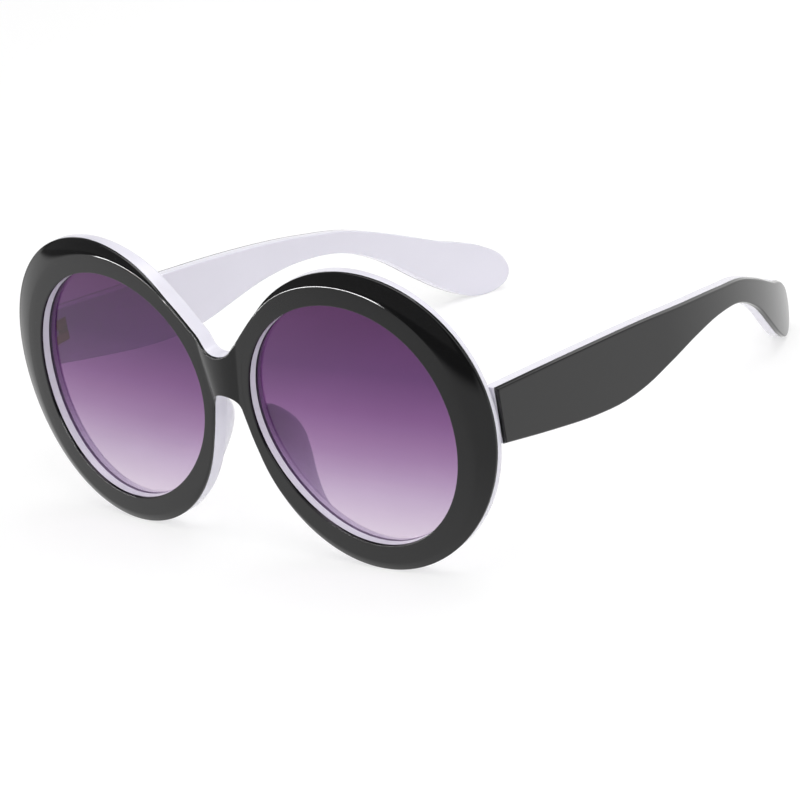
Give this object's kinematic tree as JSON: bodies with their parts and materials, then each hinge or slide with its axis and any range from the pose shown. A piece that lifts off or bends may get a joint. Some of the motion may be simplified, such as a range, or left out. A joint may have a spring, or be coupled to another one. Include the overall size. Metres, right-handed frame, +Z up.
{
  "type": "sunglasses",
  "caption": "Oversized round sunglasses with a black face on a white back, gradient tinted lenses and temples that fold on small hinges.",
  "frame": {"origin": "on the table, under the middle of the part's box", "axes": "+X to the wearer's left, +Y backwards along the temples, +Z up"},
  "size_m": [0.1504, 0.1582, 0.073],
  "materials": {
    "black_plastic": "polished black acetate",
    "white_plastic": "polished white acetate",
    "lens_tint": "purple tint, darker at the top",
    "hinge_brass": "satin brass",
    "screw_steel": "turned steel",
    "core_steel": "rolled nickel silver strip"
  },
  "bodies": {
    "front": {"front_face": "black_plastic", "front_backing": "white_plastic", "lens_left": "lens_tint", "lens_right": "lens_tint", "nose_pad_left": "white_plastic", "nose_pad_right": "white_plastic", "front_hinge_leaf_left": "hinge_brass", "front_hinge_leaf_right": "hinge_brass", "front_hinge_fixing_screws_left": "screw_steel", "front_hinge_fixing_screws_right": "screw_steel", "hinge_pivot_screw_left": "screw_steel", "hinge_pivot_screw_right": "screw_steel"},
    "temple_left": {"temple_outer_left": "black_plastic", "temple_inner_left": "white_plastic", "temple_core_wire_left": "core_steel", "temple_hinge_leaf_left": "hinge_brass", "temple_hinge_fixing_screws_left": "screw_steel"},
    "temple_right": {"temple_outer_right": "black_plastic", "temple_inner_right": "white_plastic", "temple_core_wire_right": "core_steel", "temple_hinge_leaf_right": "hinge_brass", "temple_hinge_fixing_screws_right": "screw_steel"}
  },
  "joints": [
    {"name": "left_temple_fold", "type": "hinge", "parent": "front", "child": "temple_left", "pos_m": [0.06933, -0.06768, 0.04024], "axis": [0, 0, 1], "range_deg": [0, 80]},
    {"name": "right_temple_fold", "type": "hinge", "parent": "front", "child": "temple_right", "pos_m": [-0.06933, -0.06768, 0.04024], "axis": [0, 0, -1], "range_deg": [0, 60]}
  ]
}
